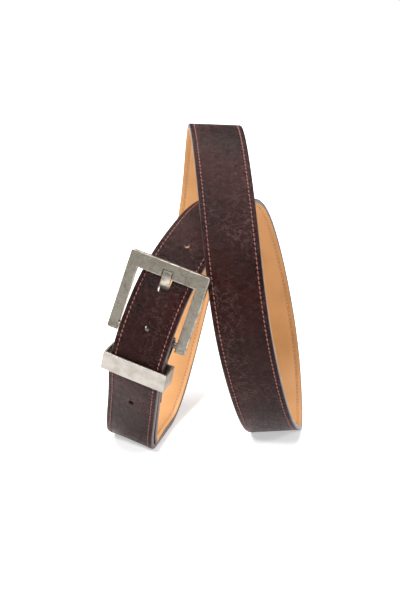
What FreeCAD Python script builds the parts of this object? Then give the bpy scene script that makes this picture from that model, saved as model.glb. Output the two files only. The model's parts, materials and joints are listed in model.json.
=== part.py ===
"""Dress belt, buckled shut and coiled in two upright turns, as a parametric FreeCAD document.

The strap is a leather sandwich (outer leather, core, lining) that follows one closed route. Its
buckle end wraps the heel bar of the buckle. Its tip end passes under the front bar, over the heel
bar, through the keeper, round the second floor turn, and then springs free behind the coil.
Millimetres, +Z up, origin on the floor under the middle of the coil.
"""
import FreeCAD, Part
import math
import os
from FreeCAD import Placement, Rotation, Vector

document = FreeCAD.newDocument("DressBelt")

# ---------------------------------------------------------------- driving dimensions

SIZES = (
    ("coil_scale", 1.0),           # size of the coiled route, with 1 for the belt as it stands
    ("strap_width", 30.0),
    ("outer_leather_thickness", 1.3),
    ("core_thickness", 0.5),
    ("lining_thickness", 0.9),
    ("glue_line", 0.05),           # gap between glued layers
    ("lap_gap", 0.4),              # gap between the tip strand and the buckle-end strand
    ("buckle_run", 567.0),         # from the top fold along the route to the heel bar
    ("lap_hold_length", 192.0),    # buckle-end strand that lies right under the tip strand
    ("lap_ease_length", 60.0),     # run in which it comes back out to the route
    ("tip_hold_length", 190.0),    # heel bar to the place where the tip springs free
    ("tip_free_length", 38.0),
    ("tip_spring_radius", 24.0),   # bend by which the free tip leaves the coil
    ("tip_spring_length", 18.0),
    ("tip_side_step", 1.0),        # how far the tip strand strays sideways
    ("tip_point_length", 22.0),
    ("stitch_inset", 2.7),         # strap edge to the middle of a stitching row
    ("thread_width", 0.7),
    ("groove_depth", 0.35),
    ("thread_gap", 0.04),
    ("hole_radius", 1.6),
    ("hole_pitch", 25.4),
    ("prong_hole_run", 29.0),      # heel bar to the hole that the prong is in
    ("prong_hole_length", 10.0),
    ("heel_bar_radius", 1.6),
    ("heel_bar_clearance", 0.7),     # to the leather wrapped round it
    ("chape_length", 44.0),        # turned-back end of the outer leather
    ("chape_taper_length", 12.0),
    ("chape_stitch_run", 40.0),    # heel bar to the row of stitches across the chape
    ("chape_slot_length", 7.0),
    ("frame_width", "=strap_width + 15.5"),
    ("frame_length", 44.5),
    ("frame_thickness", 3.2),
    ("front_bar_width", 8.5),
    ("side_bar_width", 5.8),
    ("frame_edge_radius", 0.45),
    ("frame_corner_radius", 0.9),
    ("frame_heel_margin", 3.4),    # heel bar to the free ends of the side bars
    ("front_bar_clearance", 1.1),
    ("notch_width", 6.1),
    ("notch_length", 4.3),
    ("notch_depth", 2.1),
    ("prong_width", 5.0),
    ("prong_thickness", 1.7),
    ("prong_ring_clearance", 0.1),
    ("prong_ring_wall", 1.25),
    ("prong_end_gap", 0.4),
    ("prong_side_gap", 0.5),
    ("keeper_run", 21.0),          # heel bar to the middle of the keeper
    ("keeper_length", 10.9),       # along the strap
    ("keeper_wall", 1.1),
    ("keeper_side_gap", 2.6),
    ("keeper_front_gap", 0.6),
    ("keeper_back_gap", 1.2),
    ("keeper_edge_radius", 0.4),
)

sheet = document.addObject("Spreadsheet::Sheet", "sizes")
for row, (alias, value) in enumerate(SIZES, start=1):
    sheet.set(f"A{row}", alias)
    sheet.set(f"B{row}", str(value))
    sheet.setAlias(f"B{row}", alias)
document.recompute()


def size(alias):
    """Read one driving dimension from the sheet."""
    return float(sheet.get(alias))


STRAP_HALF = size("strap_width") / 2
OUTER = size("outer_leather_thickness")
CORE_OUT = -OUTER - size("glue_line")
CORE_IN = CORE_OUT - size("core_thickness")
LINING_OUT = CORE_IN - size("glue_line")
LINING_IN = LINING_OUT - size("lining_thickness")
LAP = -LINING_IN + size("lap_gap")
BAR_RADIUS = size("heel_bar_radius")
WRAP_RADIUS = BAR_RADIUS + size("heel_bar_clearance")
RING_RADIUS = BAR_RADIUS + size("prong_ring_clearance")
BAR_DEPTH = LAP + OUTER + WRAP_RADIUS
CHAPE_DEPTH = LAP - LINING_IN + size("glue_line") + OUTER

# ---------------------------------------------------------------- the coiled route

# Control stations of the closed route of the strap's outer face: x, y, z, then how far the
# width axis is turned about Z and tilted up, in degrees.
ROUTE = (
    (4, 36, 174, 1, -4),           # top fold
    (7, -10, 171, 4, 3),
    (12, -59, 133, -1, 7),         # front limb, right
    (17, -79, 84, -7, 10),
    (31, -62, 24, -15, 8),
    (38, -38, 6, -9, 7),
    (40, -28, 2, -6, 7),
    (40, -27, 1, -2, 3),           # first floor turn
    (42, -10, -6, -7, 0),
    (45, 49, 23, -6, 12),          # back limb, right
    (23, 37, 129, -19, 9),
    (6, -12, 136, -17, 3),         # inner fold
    (-5, -38, 128, -25, -9),
    (-15, -53, 118, -24, -14),     # front limb, left, with the buckle
    (-27, -67, 99, -18, -16),
    (-40, -79, 63, -19, -14),
    (-41, -65, 42, -25, -17),
    (-45, -50, 5, -27, -15),
    (-41, -37, 1, -23, -8),        # second floor turn
    (-39, -30, -2, -14, -5),
    (-29, 3, 1, -14, -5),
    (-11, 60, 57, -11, -9),        # back limb, left
    (-1, 76, 102, -9, -8),
    (2, 67, 144, -3, -4),
)
TABLE_STEPS = 3000
FLOOR_BLEND = 1.5


def periodic_curve(poles):
    """A closed cubic B-spline with one pole for each station, starting beside the first one."""
    curve = Part.BSplineCurve()
    poles = poles[-1:] + poles[:-1]
    curve.buildFromPolesMultsKnots(poles, [1] * (len(poles) + 1), list(range(len(poles) + 1)), True, 3)
    return curve


def width_pole(turn, tilt):
    """Unit vector of the width axis from its two angles."""
    turn = math.radians(turn)
    tilt = math.radians(tilt)
    return Vector(math.cos(turn) * math.cos(tilt), math.sin(turn) * math.cos(tilt), math.sin(tilt))


scale = size("coil_scale")
centre_curve = periodic_curve([Vector(x, y, z) * scale for x, y, z, turn, tilt in ROUTE])
width_curve = periodic_curve([width_pole(turn, tilt) for x, y, z, turn, tilt in ROUTE])


def length_table():
    """Distance along the closed route at evenly spaced curve parameters."""
    table = [0.0]
    last = centre_curve.value(0)
    for step in range(1, TABLE_STEPS + 1):
        point = centre_curve.value(len(ROUTE) * step / TABLE_STEPS)
        table.append(table[-1] + point.distanceToPoint(last))
        last = point
    return table


LENGTHS = length_table()
LOOP = LENGTHS[-1]


def parameter(run):
    """Curve parameter at a distance along the closed route."""
    run = run % LOOP
    low = 0
    high = TABLE_STEPS
    while high - low > 1:
        middle = (low + high) // 2
        if LENGTHS[middle] <= run:
            low = middle
        else:
            high = middle
    share = (run - LENGTHS[low]) / (LENGTHS[high] - LENGTHS[low])
    return len(ROUTE) * (low + share) / TABLE_STEPS


class Station:
    """A cross-section of the strap: a point on its outer face, with its three directions."""

    def __init__(self, run):
        self.run = run
        along = parameter(run)
        self.point = centre_curve.value(along)
        self.forward = centre_curve.tangent(along)[0]
        across = width_curve.value(along)
        across = across - self.forward * across.dot(self.forward)
        self.across = across.normalize()
        self.outward = self.forward.cross(self.across)

    def place(self, across, out):
        """Point given across the strap and out of its outer face."""
        return self.point + self.across * across + self.outward * out


def ease(value):
    """Smooth step from 0 to 1."""
    value = min(1.0, max(0.0, value))
    return value * value * (3 - 2 * value)


HEEL = size("buckle_run") * scale
TIP_START = LOOP + size("tip_hold_length")
TIP_END = TIP_START + size("tip_free_length")


def strand_out(run):
    """How far the strap's outer face is from the route, at a distance from its buckle end."""
    if run < LOOP / 2:
        return -LAP * (1 - ease((run - size("lap_hold_length")) / size("lap_ease_length")))
    free = max(0.0, run - TIP_START)
    bend = min(free, size("tip_spring_length"))
    return (free - bend / 2) * bend / size("tip_spring_radius")


def strand_side(run):
    """How far the strap strays sideways from the route."""
    return -size("tip_side_step") * ease((run - LOOP - size("keeper_run") * 2) / size("lap_ease_length"))


def strand_width(run):
    """Share of the full width left at the rounded point of the tip."""
    back = 1 - (TIP_END - run) / size("tip_point_length")
    if back <= 0:
        return 1.0
    return max(0.34, math.sqrt(max(0.0, 1 - back * back * 0.9)))


class Section:
    """Where the corners of a ribbon's section lie at one place."""

    def __init__(self, point, across, outward, width=1.0, lift=(0.0, 0.0)):
        self.point = point
        self.across = across
        self.outward = outward
        self.width = width
        self.lift = lift

    def corner(self, across, out):
        """Place of a corner given across the strap and out of its outer face."""
        share = (across / STRAP_HALF + 1) / 2
        lift = self.lift[0] * (1 - share) + self.lift[1] * share
        side = self.across * (across * self.width)
        return self.point + side + self.outward * out + Vector(0, 0, lift)


def floor_lift(height):
    """How far an edge at that height is raised, so that it comes down smoothly on the floor."""
    if height >= FLOOR_BLEND:
        return 0.0
    if height <= -FLOOR_BLEND:
        return -height
    return (FLOOR_BLEND - height) ** 2 / (4 * FLOOR_BLEND)


def strap_section(run):
    """Section of the strap at a distance from its buckle end."""
    station = Station(HEEL + run)
    point = station.place(strand_side(run), strand_out(run))
    floor = max(0.0, -strand_out(run))
    half = station.across * STRAP_HALF
    lift = (floor_lift((point - half).z - floor), floor_lift((point + half).z - floor))
    return Section(point, station.across, station.outward, strand_width(run), lift)


def strap_sections(first, last, step=4.0):
    """Sections of the strap from one distance to another."""
    count = max(2, round((last - first) / step))
    body_end = min(last, TIP_END - size("tip_point_length"))
    runs = [first + (body_end - first) * index / count for index in range(count + 1)]
    if last > body_end:
        rest = 12
        runs += [body_end + (last - body_end) * (index + 1) / rest for index in range(rest)]
    return [strap_section(run) for run in runs]


WRAP_START = 0.5
heel_station = Station(HEEL)
BAR_CENTRE = heel_station.place(0, -BAR_DEPTH)


def chape_sections():
    """Turned-back leather from its free end, then the wrap round the heel bar."""
    sections = []
    steps = 10
    for index in range(steps + 1):
        run = WRAP_START + (size("chape_length") - WRAP_START) * (1 - index / steps) ** 1.7
        station = Station(HEEL + run)
        rise = 1 - ease(run / size("chape_taper_length"))
        depth = CHAPE_DEPTH + (BAR_DEPTH + WRAP_RADIUS + OUTER - CHAPE_DEPTH) * rise
        point = station.place(0, -depth)
        sections.append(Section(point, station.across, station.outward * -1))
    turns = 12
    for index in range(turns):
        angle = math.pi * (index + 0.5) / turns
        radial = heel_station.outward * -math.cos(angle) + heel_station.forward * -math.sin(angle)
        point = BAR_CENTRE + radial * (WRAP_RADIUS + OUTER)
        sections.append(Section(point, heel_station.across, radial))
    return sections


# ---------------------------------------------------------------- ribbon solids

def corner_curve(sections, corner):
    """Smooth curve through one corner of every section."""
    points = [section.corner(*corner) for section in sections]
    lengths = [0.0]
    for first, second in zip(sections, sections[1:]):
        lengths.append(lengths[-1] + first.point.distanceToPoint(second.point))
    curve = Part.BSplineCurve()
    curve.interpolate(Points=points, Parameters=lengths)
    return curve.toShape()


def ribbon(sections, corners):
    """Closed solid swept by a polygon of corners through the sections."""
    curves = [corner_curve(sections, corner) for corner in corners]
    faces = []
    for first, second in zip(curves, curves[1:] + curves[:1]):
        faces.append(Part.makeRuledSurface(first, second))
    for section in (sections[0], sections[-1]):
        outline = [section.corner(*corner) for corner in corners]
        faces.append(Part.Face(Part.makePolygon(outline + outline[:1])))
    shell = Part.Shell(faces)
    shell.sewShape()
    solid = Part.Solid(shell)
    if solid.Volume < 0:
        solid.reverse()
    return solid


ROW = STRAP_HALF - size("stitch_inset")
THREAD_HALF = size("thread_width") / 2
GROOVE = size("groove_depth")


def slab(low, high):
    """Plain rectangular section between two heights."""
    return [(-STRAP_HALF, low), (STRAP_HALF, low), (STRAP_HALF, high), (-STRAP_HALF, high)]


def grooved_top(low, high):
    """Section with two stitching grooves in its outer side."""
    corners = [(-STRAP_HALF, low), (STRAP_HALF, low), (STRAP_HALF, high)]
    for row in (ROW, -ROW):
        corners += [(row + THREAD_HALF, high), (row + THREAD_HALF, high - GROOVE)]
        corners += [(row - THREAD_HALF, high - GROOVE), (row - THREAD_HALF, high)]
    return corners + [(-STRAP_HALF, high)]


def grooved_bottom(low, high):
    """Section with two stitching grooves in its inner side."""
    corners = [(STRAP_HALF, high), (-STRAP_HALF, high), (-STRAP_HALF, low)]
    for row in (-ROW, ROW):
        corners += [(row - THREAD_HALF, low), (row - THREAD_HALF, low + GROOVE)]
        corners += [(row + THREAD_HALF, low + GROOVE), (row + THREAD_HALF, low)]
    return corners + [(STRAP_HALF, low)]


def thread(row, low, high):
    """Section of a thread in its groove."""
    half = THREAD_HALF - size("thread_gap")
    return [(row - half, low), (row + half, low), (row + half, high), (row - half, high)]


def station_placement(station, out):
    """Placement with X across the strap, Y back along it and Z out of its outer face."""
    rotation = Rotation(station.across, station.forward * -1, station.outward, "XYZ")
    return Placement(station.place(0, out), rotation)


def punch(radius, length, slot):
    """Upright cutter for a round hole, or for a slot of that length."""
    cutter = Part.makeCylinder(radius, length, Vector(0, -slot / 2, -length / 2))
    if slot > 0:
        cutter = cutter.fuse(Part.makeCylinder(radius, length, Vector(0, slot / 2, -length / 2)))
        bar = Part.makeBox(2 * radius, slot, length, Vector(-radius, -slot / 2, -length / 2))
        cutter = cutter.fuse(bar)
    return cutter


def hole_runs():
    """Distances of the free adjustment holes from the heel bar, along the tip strand."""
    prong = -size("prong_hole_run")
    return [prong + size("hole_pitch") * step for step in (-1, 1, 2, 3)]


def punched(solid):
    """The layer with its adjustment holes and the hole that the prong is in."""
    depth = -LINING_IN + size("lap_gap")
    for run in hole_runs():
        cutter = punch(size("hole_radius"), depth, 0)
        cutter.Placement = station_placement(Station(HEEL + run), LINING_IN / 2)
        solid = solid.cut(cutter)
    radius = size("prong_width") / 2 + size("prong_side_gap")
    slot = size("prong_hole_length") - 2 * radius + 2 * size("prong_side_gap")
    cutter = punch(radius, depth, slot)
    cutter.Placement = station_placement(Station(HEEL - size("prong_hole_run")), LINING_IN / 2)
    return solid.cut(cutter)


def add_shape(label, shape):
    """Add one finished sub-part to the document."""
    feature = document.addObject("Part::Feature", label)
    feature.Label = label
    feature.Shape = shape
    return feature


def chape_slot():
    """Cutter for the slot that the prong swings in."""
    width = size("prong_width") + 2 * size("prong_side_gap")
    reach = WRAP_RADIUS + OUTER + 1
    height = BAR_DEPTH + reach - LAP + size("lap_gap") / 2
    corner = Vector(-width / 2, -size("chape_slot_length"), -reach)
    cutter = Part.makeBox(width, size("chape_slot_length") + reach, height, corner)
    cutter.Placement = station_placement(heel_station, -BAR_DEPTH)
    return cutter


LAYER_START = size("chape_slot_length") + 2.0
parts = []


def make_strap():
    """The three glued layers of the strap."""
    sections = chape_sections() + [strap_section(WRAP_START), strap_section(3 * WRAP_START)]
    sections += strap_sections(6 * WRAP_START, TIP_END)
    outer = ribbon(sections, grooved_top(-OUTER, 0.0)).cut(chape_slot())
    parts.append(add_shape("outer_leather", punched(outer)))
    sections = strap_sections(LAYER_START, TIP_END)
    core = ribbon(sections, slab(CORE_IN, CORE_OUT))
    parts.append(add_shape("core_filler", punched(core)))
    lining = ribbon(sections, grooved_bottom(LINING_IN, LINING_OUT))
    parts.append(add_shape("lining_leather", punched(lining)))


def make_threads():
    """The stitching: two rows on the outer leather and two on the lining."""
    gap = size("thread_gap")
    outer_sections = strap_sections(1.0, TIP_END - 1)
    lining_sections = strap_sections(LAYER_START + 1, TIP_END - 1)
    for side, row in (("left", -ROW), ("right", ROW)):
        top = thread(row, gap - GROOVE, -gap)
        parts.append(add_shape(f"top_thread_{side}", ribbon(outer_sections, top)))
        bottom = thread(row, LINING_IN + gap, LINING_IN + GROOVE - gap)
        parts.append(add_shape(f"bobbin_thread_{side}", ribbon(lining_sections, bottom)))


def make_chape_stitches():
    """Short stitches in a row across the turned-back end."""
    station = Station(HEEL + size("chape_stitch_run"))
    stitch = 2.6
    count = int((2 * ROW - 2) // (stitch + 1.2))
    stitches = []
    for index in range(count):
        across = (index - (count - 1) / 2) * (stitch + 1.2)
        box = Part.makeBox(stitch, size("thread_width"), GROOVE)
        low = -CHAPE_DEPTH - size("thread_gap") - GROOVE
        box.Placement = station_placement(station, 0)
        shift = station.across * (across - stitch / 2) + station.outward * low
        box.translate(shift)
        stitches.append(box)
    parts.append(add_shape("chape_stitches", Part.makeCompound(stitches)))


# ---------------------------------------------------------------- buckle and keeper

def bind(feature, bindings):
    """Bind properties of a document object to the sheet."""
    for name, expression in bindings.items():
        feature.setExpression(name, expression)


def box(name, length, width, height, place):
    """Box whose sizes and lowest corner are bound to the sheet."""
    feature = document.addObject("Part::Box", name)
    bind(feature, {"Length": length, "Width": width, "Height": height})
    bind(feature, {f"Placement.Base.{axis}": value for axis, value in zip("xyz", place)})
    return feature


def cut(name, base, tool):
    """Base with the tool cut out of it."""
    feature = document.addObject("Part::Cut", name)
    feature.Base = base
    feature.Tool = tool
    return feature


def fillet(name, base, alias, wanted):
    """Round the edges that the test accepts, by a radius from the sheet."""
    document.recompute()
    radius = size(alias)
    feature = document.addObject("Part::Fillet", name)
    feature.Base = base
    feature.Edges = [
        (index, radius, radius)
        for index, edge in enumerate(base.Shape.Edges, start=1)
        if wanted(edge)
    ]
    return feature


frame_reach = size("frame_length") - size("frame_heel_margin") - size("front_bar_width")
front_station = Station(HEEL - frame_reach)
front_lift = size("frame_thickness") / 2 + size("front_bar_clearance")
buckle_forward = (front_station.place(0, front_lift) - BAR_CENTRE).normalize()
buckle_across = heel_station.across
buckle_across = (buckle_across - buckle_forward * buckle_across.dot(buckle_forward)).normalize()
buckle_out = buckle_across.cross(buckle_forward)
BUCKLE_PLACEMENT = Placement(BAR_CENTRE, Rotation(buckle_across, buckle_forward, buckle_out, "XYZ"))


def is_upright(edge):
    """Whether an edge runs along Z."""
    return abs(edge.Vertexes[0].X - edge.Vertexes[-1].X) + abs(edge.Vertexes[0].Y - edge.Vertexes[-1].Y) < 1e-6


def is_outer_corner(edge):
    """Whether an edge is one of the frame's upright outer corners."""
    bounds = edge.BoundBox
    return is_upright(edge) and abs(abs(bounds.Center.x) - size("frame_width") / 2) < 0.01


def is_face_rim(edge):
    """Whether an edge lies in the frame's front or back face."""
    bounds = edge.BoundBox
    return bounds.ZLength < 0.01 and abs(abs(bounds.Center.z) - size("frame_thickness") / 2) < 0.01


def make_buckle():
    """Square frame with its recess, the heel bar and the prong."""
    block = box("frame_block", "sizes.frame_width", "sizes.frame_length", "sizes.frame_thickness",
                ("-sizes.frame_width / 2", "-sizes.frame_heel_margin", "-sizes.frame_thickness / 2"))
    window = box("frame_window", "sizes.frame_width - 2 * sizes.side_bar_width",
                 "sizes.frame_length - sizes.front_bar_width + 5", "sizes.frame_thickness + 2",
                 ("sizes.side_bar_width - sizes.frame_width / 2", "-sizes.frame_heel_margin - 5",
                  "-sizes.frame_thickness / 2 - 1"))
    open_frame = cut("open_frame", block, window)
    corners = fillet("frame_corners", open_frame, "frame_corner_radius", is_outer_corner)
    rims = fillet("frame_rims", corners, "frame_edge_radius", is_face_rim)
    notch = box("prong_notch", "sizes.notch_width", "sizes.notch_length + 1", "sizes.notch_depth + 1",
                ("-sizes.notch_width / 2",
                 "sizes.frame_length - sizes.frame_heel_margin - sizes.front_bar_width - 1",
                 "sizes.frame_thickness / 2 - sizes.notch_depth"))
    notched = cut("notched_frame", rims, notch)
    bore = document.addObject("Part::Cylinder", "heel_bar_bore")
    bind(bore, {"Radius": "sizes.heel_bar_radius", "Height": "sizes.frame_width - 2"})
    bore.Placement = Placement(Vector(1 - size("frame_width") / 2, 0, 0), Rotation(Vector(0, 1, 0), 90))
    frame = cut("buckle_frame", notched, bore)
    frame.Placement = BUCKLE_PLACEMENT
    parts.append(frame)
    bar = document.addObject("Part::Cylinder", "heel_bar")
    bind(bar, {"Radius": "sizes.heel_bar_radius - 0.01", "Height": "sizes.frame_width - 2.1"})
    middle = Placement(Vector(1.05 - size("frame_width") / 2, 0, 0), Rotation(Vector(0, 1, 0), 90))
    bar.Placement = BUCKLE_PLACEMENT.multiply(middle)
    parts.append(bar)


def prong_line():
    """Middle line of the prong's tongue: length along X, height along Y, in the buckle's plane."""
    tip = frame_reach + size("notch_length") - size("prong_end_gap")
    rest = size("frame_thickness") / 2 - size("notch_depth") + 0.1 + size("prong_thickness") / 2
    hole = size("prong_hole_run") - 1.0
    low = -RING_RADIUS - size("prong_thickness") / 2
    return [
        Vector(0, low + 0.4, 0),
        Vector(10, low - 0.1, 0),
        Vector(hole - 8, low - 0.6, 0),
        Vector(hole - 3.5, low - 0.5, 0),
        Vector(hole + 0.5, (low + rest) / 2 + 0.4, 0),
        Vector(hole + 3.5, rest - 0.05, 0),
        Vector(tip, rest, 0),
    ]


def make_prong():
    """Prong: a ring on the heel bar and a tongue that rises through its hole into the notch."""
    thick = size("prong_thickness")
    points = prong_line()
    above = Part.BSplineCurve()
    above.interpolate([point + Vector(0, thick / 2, 0) for point in points])
    below = Part.BSplineCurve()
    below.interpolate([point - Vector(0, thick / 2, 0) for point in points])
    ends = [Part.LineSegment(above.EndPoint, below.EndPoint), Part.LineSegment(below.StartPoint, above.StartPoint)]
    wire = Part.Wire([above.toShape(), ends[0].toShape(), below.toShape(), ends[1].toShape()])
    width = size("prong_width")
    tongue = Part.Face(wire).extrude(Vector(0, 0, width))
    ring = Part.makeCylinder(RING_RADIUS + size("prong_ring_wall"), width)
    bore = Part.makeCylinder(RING_RADIUS, width)
    body = tongue.fuse(ring).cut(bore).removeSplitter()
    body.Placement = Placement(Vector(-width / 2, 0, 0), Rotation(Vector(0, 1, 0), Vector(0, 0, 1), Vector(1, 0, 0), "XYZ"))
    prong = add_shape("prong", body)
    prong.Placement = BUCKLE_PLACEMENT.multiply(prong.Placement)
    parts.append(prong)


def make_keeper():
    """Metal keeper: a rectangular loop round both strands and the chape."""
    station = Station(HEEL + size("keeper_run"))
    wall = size("keeper_wall")
    inner_width = "(sizes.strap_width + sizes.keeper_side_gap * 2)"
    stack = CHAPE_DEPTH + GROOVE + size("thread_gap")
    depth = f"({stack} + sizes.keeper_front_gap + sizes.keeper_back_gap)"
    outside = box("keeper_block", f"{inner_width} + 2 * sizes.keeper_wall", "sizes.keeper_length",
                  f"{depth} + 2 * sizes.keeper_wall",
                  (f"-{inner_width} / 2 - sizes.keeper_wall", "-sizes.keeper_length / 2",
                   f"-{stack} - sizes.keeper_back_gap - sizes.keeper_wall"))
    rounded = fillet("keeper_rounded", outside, "keeper_edge_radius", lambda edge: True)
    inside = box("keeper_window", inner_width, "sizes.keeper_length + 2", depth,
                 (f"-{inner_width} / 2", "-sizes.keeper_length / 2 - 1", f"-{stack} - sizes.keeper_back_gap"))
    keeper = cut("keeper_loop", rounded, inside)
    keeper.Placement = station_placement(station, 0)
    parts.append(keeper)


# ---------------------------------------------------------------- build, check and write

make_strap()
make_threads()
make_chape_stitches()
make_buckle()
make_prong()
make_keeper()
document.recompute()
for item in document.Objects:
    if "Invalid" in item.State or "Error" in item.State:
        raise RuntimeError(f"{item.Name} failed: {item.State}")
os.makedirs("parts", exist_ok=True)
for item in parts:
    if item.Shape.isNull() or not item.Shape.isValid():
        raise RuntimeError(f"{item.Label} has a bad shape")
    item.Label = item.Name
    item.Shape.exportStep(f"parts/{item.Label}.step")
    print(item.Label, len(item.Shape.Solids), "solid(s),", round(item.Shape.Volume), "mm3")
print("route", round(LOOP, 1), "strap", round(TIP_END + size("chape_length"), 1))
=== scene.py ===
"""Looks of a leather dress belt that stands buckled and coiled in two turns.

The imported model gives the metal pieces, the joints and the room that each soft piece may take. The
leather, the lining, the edge paint, the stitching and the holes are built here along the same route.
Metres, +Z up, origin on the floor under the middle of the coil.
"""
import json
import logging
import math
from dataclasses import dataclass, field
from enum import Enum
from typing import Iterable, Sequence

import bmesh
import bpy
from mathutils import Matrix, Vector

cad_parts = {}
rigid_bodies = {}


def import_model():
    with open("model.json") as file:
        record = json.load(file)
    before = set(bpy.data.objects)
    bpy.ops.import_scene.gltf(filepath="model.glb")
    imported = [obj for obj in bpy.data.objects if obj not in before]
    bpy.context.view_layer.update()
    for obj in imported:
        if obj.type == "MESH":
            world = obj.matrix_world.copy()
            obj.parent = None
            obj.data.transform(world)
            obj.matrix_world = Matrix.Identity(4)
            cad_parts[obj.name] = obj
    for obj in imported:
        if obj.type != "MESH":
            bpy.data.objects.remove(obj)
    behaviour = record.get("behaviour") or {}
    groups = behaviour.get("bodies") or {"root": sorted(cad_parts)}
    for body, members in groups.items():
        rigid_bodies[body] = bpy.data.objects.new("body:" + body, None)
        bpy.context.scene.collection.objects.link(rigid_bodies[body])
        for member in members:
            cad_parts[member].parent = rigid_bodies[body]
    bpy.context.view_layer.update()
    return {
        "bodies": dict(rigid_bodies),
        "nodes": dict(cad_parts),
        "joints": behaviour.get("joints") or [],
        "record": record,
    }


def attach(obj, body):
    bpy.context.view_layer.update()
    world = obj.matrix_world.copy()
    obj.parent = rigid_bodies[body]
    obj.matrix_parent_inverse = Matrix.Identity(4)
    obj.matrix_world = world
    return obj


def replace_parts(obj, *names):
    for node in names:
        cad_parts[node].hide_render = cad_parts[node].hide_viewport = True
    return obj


LOG = logging.getLogger("belt")
MM = 0.001
MM_PER_METRE = 1000.0
STITCH_ROW = 0.0123


class Side(Enum):
    """The two edges of the strap."""

    LEFT = -1
    RIGHT = 1


# ------------------------------------------------------------------ shader maths

@dataclass
class Wire:
    """A shader socket that arithmetic can be written on."""

    tree: bpy.types.NodeTree
    socket: bpy.types.NodeSocket

    def _math(self, operation: str, first: object, second: object) -> "Wire":
        """Add one Math node.

        Args:
            operation: Blender's name of the operation.
            first: Number or wire.
            second: Number or wire.

        Returns:
            The wire from the node.
        """
        node = self.tree.nodes.new("ShaderNodeMath")
        node.operation = operation
        for slot, value in zip(node.inputs, (first, second)):
            if isinstance(value, Wire):
                self.tree.links.new(value.socket, slot)
            else:
                slot.default_value = value
        return Wire(self.tree, node.outputs[0])

    def __add__(self, other: object) -> "Wire":
        """Sum."""
        return self._math("ADD", self, other)

    def __radd__(self, other: float) -> "Wire":
        """Sum with a number in front."""
        return self._math("ADD", other, self)

    def __sub__(self, other: object) -> "Wire":
        """Difference."""
        return self._math("SUBTRACT", self, other)

    def __rsub__(self, other: float) -> "Wire":
        """A number less this wire."""
        return self._math("SUBTRACT", other, self)

    def __mul__(self, other: object) -> "Wire":
        """Product."""
        return self._math("MULTIPLY", self, other)

    def __rmul__(self, other: float) -> "Wire":
        """Product with a number in front."""
        return self._math("MULTIPLY", other, self)

    def __abs__(self) -> "Wire":
        """Distance from zero."""
        return self._math("ABSOLUTE", self, 0.0)


class Dye:
    """One material under construction, with its Principled shader and its pattern nodes."""

    def __init__(self, name: str) -> None:
        """Start a material.

        Args:
            name: Name of the material.
        """
        self.material = bpy.data.materials.new(name)
        self.material.use_nodes = True
        self.tree = self.material.node_tree
        self.shader = self.tree.nodes["Principled BSDF"]

    def node(self, kind: str, settings: dict | None = None, sockets: dict | None = None,
             out: int | str = 0) -> Wire:
        """Add any node.

        Args:
            kind: Blender's type of the node.
            settings: Attributes that are set first.
            sockets: Values or wires of its inputs, by name or number.
            out: Output that is wanted.

        Returns:
            The wire from that output.
        """
        made = self.tree.nodes.new(kind)
        for key, value in (settings or {}).items():
            if key == "stops":
                self._stops(made.color_ramp, value)
            else:
                setattr(made, key, value)
        for key, value in (sockets or {}).items():
            if isinstance(value, Wire):
                self.tree.links.new(value.socket, made.inputs[key])
            else:
                made.inputs[key].default_value = value
        return Wire(self.tree, made.outputs[out])

    @staticmethod
    def _stops(ramp: bpy.types.ColorRamp, stops: Sequence[tuple[float, float]]) -> None:
        """Set a grey ramp.

        Args:
            ramp: The ramp.
            stops: Pairs of place and brightness.
        """
        while len(ramp.elements) < len(stops):
            ramp.elements.new(0.5)
        for element, (place, grey) in zip(ramp.elements, stops):
            element.position = place
            element.color = (grey, grey, grey, 1)

    def noise(self, where: Wire, scale: float, detail: float = 4.0,
              stretch: tuple[float, float, float] = (1, 1, 1)) -> Wire:
        """Cloudy pattern.

        Args:
            where: Coordinates in metres.
            scale: Cells per metre.
            detail: Octaves.
            stretch: Scale of each axis.

        Returns:
            A grey wire from 0 to 1.
        """
        spread = self.node("ShaderNodeVectorMath", {"operation": "MULTIPLY"}, {0: where, 1: stretch})
        return self.node("ShaderNodeTexNoise", None, {"Vector": spread, "Scale": scale, "Detail": detail})

    def ramp(self, value: Wire, stops: Sequence[tuple[float, float]]) -> Wire:
        """Grey curve through stops."""
        return self.node("ShaderNodeValToRGB", {"stops": stops}, {0: value})

    def mix(self, share: object, first: object, second: object) -> Wire:
        """Mix two colours."""
        return self.node("ShaderNodeMix", {"data_type": "RGBA"}, {0: share, 6: first, 7: second}, 2)

    def flow(self) -> Wire:
        """The piece's own map: distance along the strap, then across it, in metres."""
        return self.node("ShaderNodeUVMap", {"uv_map": "strap"})

    def place(self) -> Wire:
        """Object coordinates."""
        return self.node("ShaderNodeTexCoord", None, None, "Object")

    def bump(self, height: Wire, strength: float, distance: float) -> None:
        """Feed the shader's normal from a height.

        Args:
            height: Grey wire.
            strength: Share of the bump.
            distance: Height of the bump in metres.
        """
        sockets = {"Height": height, "Strength": strength, "Distance": distance}
        wire = self.node("ShaderNodeBump", None, sockets)
        self.tree.links.new(wire.socket, self.shader.inputs["Normal"])

    def feed(self, **sockets: object) -> None:
        """Set or link sockets of the shader.

        Args:
            sockets: Values or wires, by socket name with spaces written as underscores.
        """
        for key, value in sockets.items():
            slot = self.shader.inputs[key.replace("_", " ")]
            if isinstance(value, Wire):
                self.tree.links.new(value.socket, slot)
            else:
                slot.default_value = value


# ------------------------------------------------------------------ finishes

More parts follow.
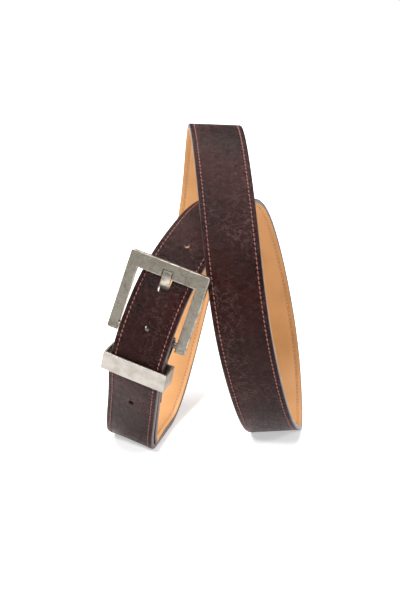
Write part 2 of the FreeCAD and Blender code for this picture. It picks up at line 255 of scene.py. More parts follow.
@dataclass(frozen=True)
class PulledUpLeather:
    """Glossy dark leather with a fine crackled grain that lightens where it is pulled; its pale crackle
    lines, stronger in random patches, are partly a painted sheen, and its stitch channels carry painted
    shade.
    """

    dark: tuple = (0.0060, 0.0010, 0.0008, 1)
    warm: tuple = (0.030, 0.0042, 0.0020, 1)
    worn: tuple = (0.030, 0.0075, 0.0055, 1)
    # Painted shade: near-black colour laid into the stitch channels, where shade falls in the grooves.
    shade: tuple = (0.0025, 0.0010, 0.0010, 1)
    # Pale mauve of the crackle lines: partly the leather's pull-up lightening, partly a painted sheen that
    # stands in for highlights on the grain.
    crackle_and_sheen: tuple = (0.085, 0.048, 0.043, 1)

    def make(self) -> bpy.types.Material:
        """Build the material.

        Returns:
            The leather.
        """
        dye = Dye("dark_pulled_up_leather")
        flow = dye.flow()
        clouds = dye.ramp(dye.noise(flow, 28, 3), ((0.36, 0.0), (0.68, 1.0)))
        mottle = dye.ramp(dye.noise(flow, 210, 5), ((0.38, 0.0), (0.7, 1.0)))
        cells = dye.node("ShaderNodeTexVoronoi", {"feature": "DISTANCE_TO_EDGE"},
                         {"Vector": flow, "Scale": 1500.0})
        crackle = dye.ramp(cells, ((0.0, 0.0), (0.16, 1.0)))
        fine = dye.noise(flow, 2600, 3)
        across = dye.node("ShaderNodeSeparateXYZ", None, {0: flow}, 1)
        # Painted shade mask: full within 0.3 mm of each stitch row and gone by 0.85 mm.
        channel_shade = dye.ramp(abs(abs(across) - STITCH_ROW) * MM_PER_METRE, ((0.3, 1.0), (0.85, 0.0)))
        body = dye.mix(clouds * 0.75, self.dark, self.warm)
        body = dye.mix(mottle * (1 - crackle * 0.45) * 0.5, body, self.worn)
        # Crackle lines in the pale colour, stronger in random patches: partly real pull-up crackle, partly
        # a painted patchy highlight.
        crackle_sheen_lines = dye.ramp(abs(dye.noise(flow, 260, 5, (1.0, 0.7, 1.0)) - 0.5), ((0.0, 1.0), (0.022, 0.0)))
        sheen_patches = dye.ramp(dye.noise(flow, 42, 3), ((0.42, 0.0), (0.6, 1.0)))
        crackle_sheen_lines = crackle_sheen_lines * (0.25 + sheen_patches * 0.75)
        body = dye.mix(crackle_sheen_lines * 0.85, body, self.crackle_and_sheen)
        # Painted shade: the stitch channels are darkened towards the shade colour.
        body = dye.mix(channel_shade * 0.8, body, self.shade)
        dye.feed(Base_Color=body, Roughness=0.20 + mottle * 0.16 + (1 - crackle) * 0.12,
                 Coat_Weight=0.0, Specular_IOR_Level=0.14, Specular_Tint=(1.0, 0.78, 0.78, 1))
        creases = dye.noise(flow, 60, 4, (5.0, 0.6, 1.0))
        dye.bump(crackle * 0.4 + fine * 0.25 + creases * 1.1 + clouds * 0.5 - crackle_sheen_lines * 0.35, 0.9, 0.00048)
        return dye.material


@dataclass(frozen=True)
class EdgePaint:
    """Burnished paint on the cut edges."""

    deep: tuple = (0.022, 0.0085, 0.0085, 1)
    pale: tuple = (0.085, 0.043, 0.043, 1)

    def make(self) -> bpy.types.Material:
        """Build the material.

        Returns:
            The paint.
        """
        dye = Dye("edge_paint")
        rubbed = dye.ramp(dye.noise(dye.place(), 160, 4), ((0.4, 0.0), (0.7, 1.0)))
        dye.feed(Base_Color=dye.mix(rubbed, self.deep, self.pale), Roughness=0.34 + rubbed * 0.16)
        dye.bump(dye.noise(dye.place(), 900, 3), 0.25, 0.0002)
        return dye.material


@dataclass(frozen=True)
class TanLining:
    """Smooth tan split leather, with painted shade along its stitch channels."""

    pale: tuple = (0.56, 0.285, 0.105, 1)
    deep: tuple = (0.36, 0.155, 0.050, 1)
    # Painted shade: dark tan laid into the sunk stitch channels, where shade falls.
    sunk: tuple = (0.20, 0.080, 0.028, 1)

    def make(self) -> bpy.types.Material:
        """Build the material.

        Returns:
            The lining.
        """
        dye = Dye("tan_lining_leather")
        flow = dye.flow()
        clouds = dye.ramp(dye.noise(flow, 45, 5), ((0.35, 0.0), (0.72, 1.0)))
        pores = dye.noise(flow, 1900, 4)
        tone = dye.mix(clouds * 0.4 + pores * 0.16, self.pale, self.deep)
        across = dye.node("ShaderNodeSeparateXYZ", None, {0: flow}, 1)
        # Painted shade: the lining's stitch channels are darkened towards the sunk colour.
        channel_shade = dye.ramp(abs(abs(across) - STITCH_ROW) * MM_PER_METRE, ((0.2, 1.0), (0.7, 0.0)))
        tone = dye.mix(channel_shade * 0.55, tone, self.sunk)
        dye.feed(Base_Color=tone, Roughness=0.52 + clouds * 0.1, Specular_IOR_Level=0.4)
        dye.bump(pores * 0.6 + clouds * 0.5, 0.3, 0.0003)
        return dye.material


@dataclass(frozen=True)
class WaxedThread:
    """Twisted waxed thread."""

    name: str
    shade: tuple
    light: tuple

    def make(self) -> bpy.types.Material:
        """Build the material.

        Returns:
            The thread's finish.
        """
        dye = Dye(self.name)
        twist = dye.ramp(dye.noise(dye.place(), 1800, 2), ((0.35, 0.0), (0.65, 1.0)))
        dye.feed(Base_Color=dye.mix(twist, self.shade, self.light), Roughness=0.42 + twist * 0.15)
        dye.bump(twist, 0.4, 0.0001)
        return dye.material


@dataclass(frozen=True)
class PlatedMetal:
    """Nickel plate, from brushed and clean to antique and mottled."""

    name: str
    bright: tuple
    dull: tuple
    patina: float
    brushing: tuple

    def make(self) -> bpy.types.Material:
        """Build the material.

        Returns:
            The metal.
        """
        dye = Dye(self.name)
        where = dye.place()
        blotch = dye.ramp(dye.noise(where, 190, 5), ((0.42, 0.0), (0.62, 1.0)))
        specks = dye.ramp(dye.noise(where, 900, 4), ((0.5, 0.0), (0.68, 1.0)))
        brushed = dye.noise(where, 420, 3, self.brushing)
        stain = blotch * (0.62 * self.patina) + specks * (0.3 * self.patina)
        dye.feed(Base_Color=dye.mix(stain, self.bright, self.dull), Metallic=1.0,
                 Roughness=0.24 + stain * 0.26 + brushed * 0.12)
        dye.bump(brushed * 0.8 + specks * self.patina * 0.6, 0.22, 0.0002)
        return dye.material


@dataclass(frozen=True)
class PaleFloor:
    """Plain seamless paper."""

    tone: tuple = (0.80, 0.80, 0.80, 1)
    glow: float = 0.50

    def make(self) -> bpy.types.Material:
        """Build the material.

        Returns:
            The floor's finish.
        """
        dye = Dye("pale_floor")
        dye.feed(Base_Color=self.tone, Roughness=0.85, Specular_IOR_Level=0.2,
                 Emission_Color=(1, 1, 1, 1), Emission_Strength=self.glow)
        return dye.material


# ------------------------------------------------------------------ the route

@dataclass(frozen=True)
class Route:
    """Closed smooth route of the strap's outer face, with the width axis at each station."""

    stations: tuple = (
        (4, 36, 174, 1, -4), (7, -10, 171, 4, 3), (12, -59, 133, -1, 7), (17, -79, 84, -7, 10),
        (31, -62, 24, -15, 8), (38, -38, 6, -9, 7), (40, -28, 2, -6, 7), (40, -27, 1, -2, 3),
        (42, -10, -6, -7, 0), (45, 49, 23, -6, 12), (23, 37, 129, -19, 9), (6, -12, 136, -17, 3),
        (-5, -38, 128, -25, -9), (-15, -53, 118, -24, -14), (-27, -67, 99, -18, -16),
        (-40, -79, 63, -19, -14), (-41, -65, 42, -25, -17), (-45, -50, 5, -27, -15),
        (-41, -37, 1, -23, -8), (-39, -30, -2, -14, -5), (-29, 3, 1, -14, -5), (-11, 60, 57, -11, -9),
        (-1, 76, 102, -9, -8), (2, 67, 144, -3, -4),
    )
    steps: int = 3000
    lengths: list = field(default_factory=list)

    def __post_init__(self) -> None:
        """Measure the distance along the route."""
        last = self.centre(0.0)
        total = 0.0
        for step in range(self.steps + 1):
            point = self.centre(len(self.stations) * step / self.steps)
            total += (point - last).length
            self.lengths.append(total)
            last = point

    def _blend(self, along: float, values: Sequence[Vector]) -> tuple[Vector, Vector]:
        """Value and slope of the periodic cubic curve that the stations' values steer.

        Args:
            along: Curve parameter, which counts stations.
            values: One value for each station.

        Returns:
            The value and its slope.
        """
        base = math.floor(along)
        t = along - base
        weights = ((1 - t) ** 3 / 6, (3 * t ** 3 - 6 * t * t + 4) / 6,
                   (-3 * t ** 3 + 3 * t * t + 3 * t + 1) / 6, t ** 3 / 6)
        slopes = (-(1 - t) ** 2 / 2, (9 * t * t - 12 * t) / 6, (-9 * t * t + 6 * t + 3) / 6, t * t / 2)
        value = Vector()
        slope = Vector()
        for offset in range(4):
            pole = values[(base - 1 + offset) % len(values)]
            value += pole * weights[offset]
            slope += pole * slopes[offset]
        return value, slope

    def centre(self, along: float) -> Vector:
        """Point of the route at a curve parameter."""
        return self._blend(along, [Vector(row[:3]) * MM for row in self.stations])[0]

    def station(self, run: float) -> "Station":
        """Cross-section at a distance along the route.

        Args:
            run: Distance in metres from the top fold.

        Returns:
            The point with its three directions.
        """
        run = run % self.lengths[-1]
        low, high = 0, self.steps
        while high - low > 1:
            middle = (low + high) // 2
            low, high = (middle, high) if self.lengths[middle] <= run else (low, middle)
        share = (run - self.lengths[low]) / (self.lengths[high] - self.lengths[low])
        along = len(self.stations) * (low + share) / self.steps
        point, slope = self._blend(along, [Vector(row[:3]) * MM for row in self.stations])
        axes = []
        for row in self.stations:
            turn, tilt = math.radians(row[3]), math.radians(row[4])
            level = math.cos(tilt)
            axes.append(Vector((math.cos(turn) * level, math.sin(turn) * level, math.sin(tilt))))
        across = self._blend(along, axes)[0]
        forward = slope.normalized()
        across = (across - forward * across.dot(forward)).normalized()
        return Station(point, forward, across, forward.cross(across))


@dataclass(frozen=True)
class Station:
    """A point of the strap's outer face with its directions."""

    point: Vector
    forward: Vector
    across: Vector
    outward: Vector

    def frame(self, across: float = 0.0, out: float = 0.0) -> Matrix:
        """Matrix with X across, Y back along the strap and Z outward, moved sideways and out."""
        origin = self.point + self.across * across + self.outward * out
        return axes_matrix(self.across, -self.forward, self.outward, origin)


def axes_matrix(x: Vector, y: Vector, z: Vector, origin: Vector) -> Matrix:
    """Matrix from three axes and an origin.

    Args:
        x: First axis.
        y: Second axis.
        z: Third axis.
        origin: Where they meet.

    Returns:
        The matrix.
    """
    matrix = Matrix.Identity(4)
    for column, axis in enumerate((x, y, z, origin)):
        for row in range(3):
            matrix[row][column] = axis[row]
    return matrix


def ease(value: float) -> float:
    """Smooth step from 0 to 1."""
    value = min(1.0, max(0.0, value))
    return value * value * (3 - 2 * value)


@dataclass
class Lay:
    """How the strap lies along the route: its two ends, its overlap and its floor contact."""

    route: Route
    heel: float = 0.567
    half: float = 0.015
    lap: float = 0.0032
    lap_hold: float = 0.192
    lap_ease: float = 0.060
    tip_hold: float = 0.190
    tip_free: float = 0.038
    spring_radius: float = 0.024
    spring_length: float = 0.018
    side_step: float = 0.001
    keeper_run: float = 0.021
    point_length: float = 0.022
    point_least: float = 0.34
    point_fullness: float = 0.9
    floor_blend: float = 0.0015

    def __post_init__(self) -> None:
        """Work out where the tip springs free and ends."""
        self.loop = self.route.lengths[-1]
        self.tip_start = self.loop + self.tip_hold
        self.tip_end = self.tip_start + self.tip_free

    def out(self, run: float) -> float:
        """How far the outer face is from the route.

        Args:
            run: Distance from the buckle end.

        Returns:
            The distance, less than 0 where the strap lies under the other strand.
        """
        if run < self.loop / 2:
            return -self.lap * (1 - ease((run - self.lap_hold) / self.lap_ease))
        free = max(0.0, run - self.tip_start)
        bend = min(free, self.spring_length)
        return (free - bend / 2) * bend / self.spring_radius

    def side(self, run: float) -> float:
        """How far the strap strays sideways."""
        return -self.side_step * ease((run - self.loop - self.keeper_run * 2) / self.lap_ease)

    def width(self, run: float) -> float:
        """Share of the full width left at the rounded tip.

        Args:
            run: Distance from the buckle end.

        Returns:
            The share, which is 1 before the tip.
        """
        back = 1 - (self.tip_end - run) / self.point_length
        round_share = math.sqrt(max(0.0, 1 - back * back * self.point_fullness))
        return 1.0 if back <= 0 else max(self.point_least, round_share)

    def lift(self, height: float) -> float:
        """How far an edge is raised onto the floor, eased in just above it.

        Args:
            height: Height of the edge before it is raised.

        Returns:
            The rise.
        """
        if height >= self.floor_blend:
            return 0.0
        if height <= -self.floor_blend:
            return -height
        return (self.floor_blend - height) ** 2 / (4 * self.floor_blend)

    def section(self, run: float) -> Matrix:
        """Matrix of the strap's section: X across, Y outward, Z forward.

        Args:
            run: Distance from the buckle end.

        Returns:
            A matrix that also narrows and raises the section.
        """
        station = self.route.station(self.heel + run)
        point = station.point + station.across * self.side(run) + station.outward * self.out(run)
        floor = max(0.0, -self.out(run))
        edge = station.across * self.half
        lifts = [self.lift((point + edge * side.value).z - floor) for side in Side]
        across = station.across * self.width(run) + Vector((0, 0, (lifts[1] - lifts[0]) / (2 * self.half)))
        return axes_matrix(across, station.outward, station.forward, point + Vector((0, 0, sum(lifts) / 2)))


# ------------------------------------------------------------------ mesh tools

CRISP_EDGE = 0.7
CRISP_CUT = 0.5
NEVER_CRISP = 3.2


@dataclass(frozen=True)
class Outline:
    """Closed section of a ribbon: corners across and out, and the finish of the side after each."""

    corners: tuple
    finishes: tuple

    @staticmethod
    def mirrored(half: Sequence[tuple[float, float, int]]) -> "Outline":
        """Make a whole outline from its right half, in millimetres.

        Args:
            half: Corners from the middle of the bottom to the middle of the top, with finishes.

        Returns:
            The outline.
        """
        right = [(x * MM, z * MM) for x, z, finish in half]
        left = [(-x, z) for x, z in reversed(right[1:-1])]
        finish = [row[2] for row in half[:-1]]
        return Outline(tuple(right + left), tuple(finish + finish[::-1]))


def finish_mesh(name: str, mesh: bmesh.types.BMesh, materials: Iterable[bpy.types.Material],
                angle: float = CRISP_EDGE) -> bpy.types.Object:
    """Turn a bmesh into a smooth-shaded object at the origin.

    Args:
        name: Name of the piece.
        mesh: The bmesh, which is freed.
        materials: Its finishes in slot order.
        angle: Turn between faces, in radians, past which an edge stays crisp.

    Returns:
        The object.
    """
    for face in mesh.faces:
        face.smooth = True
    data = bpy.data.meshes.new(name)
    mesh.to_mesh(data)
    mesh.free()
    data.set_sharp_from_angle(angle=angle)
    for material in materials:
        data.materials.append(material)
    made = bpy.data.objects.new(name, data)
    bpy.context.scene.collection.objects.link(made)
    return made


def sweep(name: str, outline: Outline, frames: Sequence[Matrix], runs: Sequence[float],
          materials: Sequence[bpy.types.Material]) -> bpy.types.Object:
    """Extrude an outline from frame to frame into a closed ribbon with its own map.

    Args:
        name: Name of the piece.
        outline: The section.
        frames: Matrices of the sections, with X across, Y outward and Z ahead.
        runs: Distance along the strap at each section, for the map.
        materials: Finishes that the outline's numbers point to.

    Returns:
        The ribbon.
    """
    mesh = bmesh.new()
    corner = mesh.verts.layers.int.new("corner")
    distance = mesh.verts.layers.float.new("distance")
    ring = [mesh.verts.new((x, z, 0)) for x, z in outline.corners]
    for number, vert in enumerate(ring):
        vert[corner] = number
        vert[distance] = runs[0]
    edges = [mesh.edges.new((first, second)) for first, second in zip(ring, ring[1:] + ring[:1])]
    bmesh.ops.transform(mesh, matrix=frames[0], verts=ring)
    bmesh.ops.contextual_create(mesh, geom=edges)
    for last, frame, run in zip(frames, frames[1:], runs[1:]):
        made = bmesh.ops.extrude_edge_only(mesh, edges=edges)["geom"]
        ring = [item for item in made if isinstance(item, bmesh.types.BMVert)]
        fresh = set(ring)
        added = [item for item in made if isinstance(item, bmesh.types.BMEdge)]
        edges = [edge for edge in added if fresh.issuperset(edge.verts)]
        bmesh.ops.transform(mesh, matrix=frame @ last.inverted(), verts=ring)
        for vert in ring:
            vert[distance] = run
    bmesh.ops.contextual_create(mesh, geom=edges)
    bmesh.ops.recalc_face_normals(mesh, faces=mesh.faces)
    flow = mesh.loops.layers.uv.new("strap")
    last_corner = len(outline.corners) - 1
    for face in mesh.faces:
        numbers = {vert[corner] for vert in face.verts}
        face.material_index = outline.finishes[last_corner if numbers == {0, last_corner} else min(numbers)]
        for loop in face.loops:
            loop[flow].uv = (loop.vert[distance], outline.corners[loop.vert[corner]][0])
    return finish_mesh(name, mesh, materials)


def carve(piece: bpy.types.Object, tool: bmesh.types.BMesh) -> None:
    """Cut a tool out of a piece for good.

    Args:
        piece: The object that is cut.
        tool: Closed bmesh, which is freed.
    """
    cutter = finish_mesh(f"{piece.name}_tool", tool, ())
    modifier = piece.modifiers.new("cut", "BOOLEAN")
    modifier.operation = "DIFFERENCE"
    modifier.solver = "EXACT"
    modifier.object = cutter
    bpy.context.view_layer.update()
    data = bpy.data.meshes.new_from_object(piece.evaluated_get(bpy.context.evaluated_depsgraph_get()))
    data.set_sharp_from_angle(angle=CRISP_CUT)
    piece.modifiers.clear()
    piece.data = data
    bpy.data.objects.remove(cutter)


def add_punch(tool: bmesh.types.BMesh, radius: float, slot: float, frame: Matrix,
              depth: float = 0.006) -> None:
    """Add an upright round or long cutter to a tool.

    Args:
        tool: The bmesh that collects cutters.
        radius: Radius of the hole.
        slot: Extra length of a long hole.
        frame: Place of the cutter, with Z through the leather.
        depth: Length of the cutter.
    """
    made = bmesh.ops.create_cone(tool, cap_ends=True, segments=40, radius1=radius, radius2=radius,
                                 depth=depth)["verts"]
    for share in (-1, 1):
        end = [vert for vert in made if vert.co.y * share > 1e-6]
        bmesh.ops.translate(tool, vec=(0, share * slot / 2, 0), verts=end)
    bmesh.ops.transform(tool, matrix=frame, verts=made)


def add_block(tool: bmesh.types.BMesh, low: Sequence[float], high: Sequence[float], frame: Matrix) -> None:
    """Add a box to a tool.

    Args:
        tool: The bmesh that collects cutters.
        low: Lowest corner in metres.
        high: Highest corner.
        frame: Place of the box.
    """
    size = Vector(high) - Vector(low)
    middle = (Vector(high) + Vector(low)) / 2
    made = bmesh.ops.create_cube(tool, size=1.0)["verts"]
    place = frame @ Matrix.Translation(middle) @ Matrix.Diagonal((*size, 1))
    bmesh.ops.transform(tool, matrix=place, verts=made)


# ------------------------------------------------------------------ leather pieces

LEATHER, PAINT = 0, 1


@dataclass
class StrapLeather:
    """Outer leather and filler, padded between the stitching rows, with painted edges."""

    lay: Lay
    start: float = 0.009
    step: float = 0.0028
    section: tuple = (
        (0, -2.62, PAINT), (14.3, -2.62, PAINT), (14.8, -2.48, PAINT), (15.0, -2.1, PAINT),
        (15.0, -0.75, PAINT), (14.88, -0.36, PAINT), (14.6, -0.12, LEATHER), (14.1, -0.02, LEATHER),
        (13.2, -0.01, LEATHER), (12.72, -0.10, LEATHER), (12.5, -0.30, LEATHER), (12.1, -0.30, LEATHER),
        (11.88, -0.10, LEATHER), (11.2, 0.0, LEATHER), (9.0, 0.04, LEATHER), (5.0, 0.06, LEATHER),
        (0, 0.06, LEATHER),
    )
    hole_radius: float = 0.0016
    pitch: float = 0.0254
    prong_run: float = -0.029
    prong_hole_radius: float = 0.003
    prong_hole_slot: float = 0.005
    open_holes: tuple = (-1, 1, 2, 3)
    middle_depth: float = -0.0014
    slits: tuple = (0.0050, 0.0062, 0.0046, 0.0036)
    slit_half: float = 0.00016
    slit_start: float = 1.1
    slit_floor: float = 0.0006
    slit_top: float = 0.003
    slit_turn: float = 4.0
    tip_steps: int = 16

    def runs(self) -> list[float]:
        """Work out where the sections are.

        Returns:
            Their distances from the buckle end.
        """
        body = self.lay.tip_end - self.lay.point_length
        count = round((body - self.start) / self.step)
        runs = [self.start + (body - self.start) * index / count for index in range(count + 1)]
        steps = self.tip_steps
        return runs + [body + self.lay.point_length * (index + 1) / steps for index in range(steps)]

    def holes(self, slits: bool) -> bmesh.types.BMesh:
        """Cutters of the adjustment holes, of the prong's hole and of the worn slits.

        Args:
            slits: Whether the slits are wanted too.

        Returns:
            One closed tool.
        """
        tool = bmesh.new()
        prong = self.lay.heel + self.prong_run
        for number, slit in zip(self.open_holes, self.slits):
            station = self.lay.route.station(prong + self.pitch * number)
            frame = station.frame(0, self.middle_depth)
            add_punch(tool, self.hole_radius, 0.0, frame)
            if slits:
                low = (-self.slit_half, self.hole_radius * self.slit_start, self.slit_floor)
                high = (self.slit_half, self.hole_radius + slit, self.slit_top)
                turn = Matrix.Rotation(math.radians(self.slit_turn * number), 4, "Z")
                add_block(tool, low, high, frame @ turn)
        frame = self.lay.route.station(prong).frame(0, self.middle_depth)
        add_punch(tool, self.prong_hole_radius, self.prong_hole_slot, frame)
        return tool

    def build(self, leather: bpy.types.Material, paint: bpy.types.Material) -> bpy.types.Object:
        """Make the strap.

        Args:
            leather: Finish of the face.
            paint: Finish of the edges.

        Returns:
            The strap.
        """
        runs = self.runs()
        outline = Outline.mirrored(self.section)
        frames = [self.lay.section(run) for run in runs]
        strap = sweep("strap_leather", outline, frames, runs, (leather, paint))
        carve(strap, self.holes(True))
        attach(strap, "strap")
        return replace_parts(strap, "outer_leather", "core_filler")


@dataclass
class StrapLining(StrapLeather):
    """Tan lining along the inside of the strap, with its sunk bobbin rows."""

    start: float = 0.0093
    section: tuple = (
        (0, -2.40, 0), (14.5, -2.40, 0), (14.72, -2.5, 0), (14.72, -2.7, 0), (14.55, -2.80, 0),
        (12.8, -2.80, 0), (12.55, -2.68, 0), (12.05, -2.68, 0), (11.8, -2.80, 0), (0, -2.80, 0),
    )

    def build_lining(self, lining: bpy.types.Material) -> bpy.types.Object:
        """Make the lining.

        Args:
            lining: Its finish.

        Returns:
            The lining.
        """
        runs = self.runs()[:-1]
        outline = Outline.mirrored(self.section)
        piece = sweep("strap_lining", outline, [self.lay.section(run) for run in runs], runs, (lining,))
        carve(piece, self.holes(False))
        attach(piece, "strap")
        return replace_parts(piece, "lining_leather")


@dataclass
class Chape:
    """Turned-back end of the outer leather, wrapped round the heel bar and stitched down."""

    lay: Lay
    length: float = 0.044
    taper: float = 0.012
    depth: float = 0.00735
    bar_depth: float = 0.0068
    wrap_radius: float = 0.0023
    thickness: float = 0.0013
    slot_length: float = 0.007
    slot_half: float = 0.003
    slot_rise: float = 0.0038
    slot_spare: float = 0.001
    gap: float = 0.0005
    strand_steps: int = 22
    crowding: float = 1.5
    wrap_steps: int = 24
    landing: tuple = (0.0005, 0.0015, 0.003, 0.005, 0.007, 0.00898)
    stitch_run: float = 0.040
    stitches: int = 5
    stitch_pitch: float = 0.0038
    stitch_sink: float = 0.00012
    stitch_size: tuple = (0.0013, 0.00035, 0.0003)
    section: tuple = (
        (0, -1.3, LEATHER), (14.7, -1.3, PAINT), (14.95, -1.1, PAINT), (15.0, -0.9, PAINT),
        (15.0, -0.45, PAINT), (14.8, -0.12, LEATHER), (14.2, -0.02, LEATHER), (0, 0.0, LEATHER),
    )

    def frames(self) -> tuple[list[Matrix], list[float]]:
        """Sections from the free end, round the bar and back onto the strap.

        Returns:
            The matrices, and the distance of each from the free end.
        """
        frames = []
        for index in range(self.strand_steps + 1):
            share = (1 - index / self.strand_steps) ** self.crowding
            run = self.gap + (self.length - self.gap) * share
            station = self.lay.route.station(self.lay.heel + run)
            rise = 1 - ease(run / self.taper)
            depth = self.depth + (self.bar_depth + self.wrap_radius + self.thickness - self.depth) * rise
            place = station.point - station.outward * depth
            frames.append(axes_matrix(station.across, -station.outward, -station.forward, place))
        heel = self.lay.route.station(self.lay.heel)
        centre = heel.point - heel.outward * self.bar_depth
        for index in range(self.wrap_steps):
            angle = math.pi * (index + 0.5) / self.wrap_steps
            radial = heel.outward * -math.cos(angle) - heel.forward * math.sin(angle)
            place = centre + radial * (self.wrap_radius + self.thickness)
            frames.append(axes_matrix(heel.across, radial, heel.across.cross(radial), place))
        frames += [self.lay.section(run) for run in self.landing]
        runs = [0.0]
        for first, second in zip(frames, frames[1:]):
            runs.append(runs[-1] + (second.translation - first.translation).length)
        return frames, runs

    def build(self, leather: bpy.types.Material, paint: bpy.types.Material) -> bpy.types.Object:
        """Make the turned-back end with the slot that the prong swings in.

        Args:
            leather: Finish of the face.
            paint: Finish of the edges.

        Returns:
            The piece.
        """
        frames, runs = self.frames()
        piece = sweep("chape_wrap", Outline.mirrored(self.section), frames, runs, (leather, paint))
        tool = bmesh.new()
        reach = self.wrap_radius + self.thickness + self.slot_spare
        heel = self.lay.route.station(self.lay.heel).frame(0, -self.bar_depth)
        low = (-self.slot_half, -self.slot_length, -reach)
        add_block(tool, low, (self.slot_half, reach, self.slot_rise), heel)
        carve(piece, tool)
        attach(piece, "strap")
        return piece

    def stitch(self, thread: bpy.types.Material) -> bpy.types.Object:
        """Make the row of stitches across the turned-back end.

        Args:
            thread: Their finish.

        Returns:
            The stitches.
        """
        mesh = bmesh.new()
        seed = stitch_seed(*self.stitch_size)
        station = self.lay.route.station(self.lay.heel + self.stitch_run)
        for index in range(self.stitches):
            across = (index - self.stitches // 2) * self.stitch_pitch
            frame = station.frame(across, -self.depth - self.stitch_sink)
            add_stitch(mesh, seed, frame @ Matrix.Rotation(math.pi / 2, 4, "Z"))
        piece = finish_mesh("chape_row", mesh, (thread,), NEVER_CRISP)
        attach(piece, "strap")
        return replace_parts(piece, "chape_stitches")


def stitch_seed(half_length: float, half_width: float, half_height: float) -> bpy.types.Mesh:
    """Make the plump stitch that a row repeats, along the Y axis.

    Args:
        half_length: Half its length.
        half_width: Half its width.
        half_height: Half its height.

    Returns:
        The stitch's mesh.
    """
    mesh = bmesh.new()
    made = bmesh.ops.create_uvsphere(mesh, u_segments=6, v_segments=5, radius=1.0)["verts"]
    lie = Matrix.Rotation(math.pi / 2, 4, "X")
    shape = Matrix.Diagonal((half_width, half_length, half_height, 1))
    bmesh.ops.transform(mesh, matrix=shape @ lie, verts=made)
    seed = bpy.data.meshes.new("stitch_seed")
    mesh.to_mesh(seed)
    mesh.free()
    return seed


def add_stitch(mesh: bmesh.types.BMesh, seed: bpy.types.Mesh, frame: Matrix) -> None:
    """Add one stitch to a row.

    Args:
        mesh: The bmesh that collects stitches.
        seed: The stitch's mesh.
        frame: Place of the stitch, which lies along Y.
    """
    laid = seed.copy()
    laid.transform(frame)
    mesh.from_mesh(laid)
    bpy.data.meshes.remove(laid)


@dataclass
class StitchRow:
    """One row of lockstitches along an edge, on the face or on the lining."""

    lay: Lay
    side: Side
    name: str
    out: float
    slant: float
    start: float
    node: str
    slot: str
    inset: float = 0.0027
    pitch: float = 0.0026
    size: tuple = (0.00112, 0.00040, 0.00032)
    stop: float = 0.0015

    def build(self, thread: bpy.types.Material) -> bpy.types.Object:
        """Make the row.

        Args:
            thread: Its finish.

        Returns:
            The stitches as one piece.
        """
        mesh = bmesh.new()
        seed = stitch_seed(*self.size)
        across = self.side.value * (self.lay.half - self.inset)
        count = int((self.lay.tip_end - self.stop - self.start) / self.pitch)
        slant = Matrix.Rotation(math.radians(self.slant), 4, "Z")
        turn = Matrix.Rotation(-math.pi / 2, 4, "X") @ slant
        for index in range(count):
            section = self.lay.section(self.start + self.pitch * (index + 0.5))
            place = section @ Matrix.Translation((across, self.out, 0))
            add_stitch(mesh, seed, place @ Matrix.Rotation(math.pi, 4, "Y") @ turn)
        piece = finish_mesh(self.name, mesh, (thread,), NEVER_CRISP)
        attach(piece, "strap")
        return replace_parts(piece, self.node)


# ------------------------------------------------------------------ studio

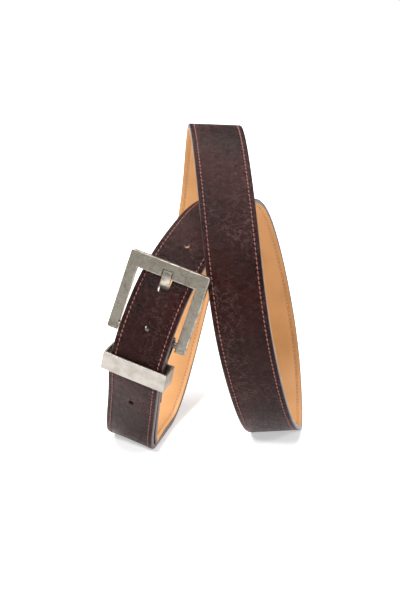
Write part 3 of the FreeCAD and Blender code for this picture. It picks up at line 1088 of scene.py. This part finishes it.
@dataclass(frozen=True)
class Studio:
    """Pale floor, soft lights and the camera."""

    eye: tuple = (-0.004, -0.7314, 0.3559)
    pitch: float = 68.92
    lens: float = 80.9
    shift: float = -0.0039
    sensor: float = 36.0
    floor_half: float = 4.0
    floor_drop: float = 0.0001
    lamps: tuple = (
        ("overhead_softbox", (-0.30, 0.45, 1.25), (0.0, 0.0, 0.06), 1.1, 32.0),
        ("left_softbox", (-0.55, -0.70, 0.95), (0.0, 0.0, 0.08), 0.22, 9.0),
        ("right_softbox", (0.90, -0.45, 0.60), (0.0, 0.0, 0.08), 0.25, 4.5),
        ("top_strip", (0.10, -0.35, 1.05), (0.0, -0.05, 0.12), 0.16, 3.0),
    )
    sky: float = 0.18
    exposure: float = 0.0

    def build(self) -> None:
        """Make the floor, the lamps, the even surround and the camera."""
        mesh = bmesh.new()
        bmesh.ops.create_grid(mesh, x_segments=2, y_segments=2, size=self.floor_half)
        floor = finish_mesh("floor", mesh, (PaleFloor().make(),))
        floor.data.transform(Matrix.Translation((0, 0, -self.floor_drop)))
        for name, place, aim, width, power in self.lamps:
            lamp = bpy.data.lights.new(name, "AREA")
            lamp.size = width
            lamp.energy = power
            made = bpy.data.objects.new(name, lamp)
            made.location = place
            made.rotation_euler = (Vector(aim) - Vector(place)).to_track_quat("-Z", "Y").to_euler()
            bpy.context.scene.collection.objects.link(made)
        world = bpy.data.worlds.new("even_surround")
        world.use_nodes = True
        ground = world.node_tree.nodes["Background"]
        ground.inputs["Color"].default_value = (1, 1, 1, 1)
        ground.inputs["Strength"].default_value = self.sky
        bpy.context.scene.world = world
        bpy.context.scene.view_settings.view_transform = "Standard"
        bpy.context.scene.view_settings.exposure = self.exposure
        camera = bpy.data.cameras.new("camera")
        camera.lens = self.lens
        camera.sensor_width = self.sensor
        camera.shift_y = self.shift
        made = bpy.data.objects.new("camera", camera)
        made.location = self.eye
        made.rotation_euler = (math.radians(self.pitch), 0, 0)
        bpy.context.scene.collection.objects.link(made)
        bpy.context.scene.camera = made


def dress(node: bpy.types.Object, material: bpy.types.Material) -> None:
    """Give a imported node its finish."""
    node.data.materials.clear()
    node.data.materials.append(material)


def main() -> None:
    """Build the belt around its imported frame."""
    logging.basicConfig(level=logging.INFO)
    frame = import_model()
    Studio().build()
    lay = Lay(Route())
    leather = PulledUpLeather().make()
    paint = EdgePaint().make()
    lining = TanLining().make()
    thread = WaxedThread("reddish_thread", (0.070, 0.014, 0.010, 1), (0.34, 0.13, 0.11, 1)).make()
    bobbin = WaxedThread("tan_thread", (0.40, 0.19, 0.075, 1), (0.62, 0.34, 0.15, 1)).make()
    antique = PlatedMetal("antique_nickel", (0.42, 0.385, 0.325, 1), (0.13, 0.105, 0.08, 1), 1.0,
                          (1, 1, 1)).make()
    brushed = PlatedMetal("brushed_nickel", (0.34, 0.315, 0.285, 1), (0.17, 0.145, 0.12, 1), 0.5,
                          (6, 0.4, 0.4)).make()
    LOG.info("strap %s", StrapLeather(lay).build(leather, paint).name)
    LOG.info("lining %s", StrapLining(lay).build_lining(lining).name)
    chape = Chape(lay)
    LOG.info("turned-back end %s", chape.build(leather, paint).name)
    LOG.info("its stitches %s", chape.stitch(thread).name)
    for side in Side:
        word = side.name.lower()
        face = StitchRow(lay, side, f"face_stitches_{word}", -0.00014, 7.0, 0.0015,
                         f"top_thread_{word}", "thread")
        LOG.info("row %s", face.build(thread).name)
        back = StitchRow(lay, side, f"lining_stitches_{word}", -0.00268, 0.0, 0.011,
                         f"bobbin_thread_{word}", "lining_thread")
        LOG.info("row %s", back.build(bobbin).name)
    for name in ("buckle_frame", "prong", "heel_bar"):
        dress(frame["nodes"][name], antique)
    dress(frame["nodes"]["keeper_loop"], brushed)


if __name__ == "__main__":
    main()
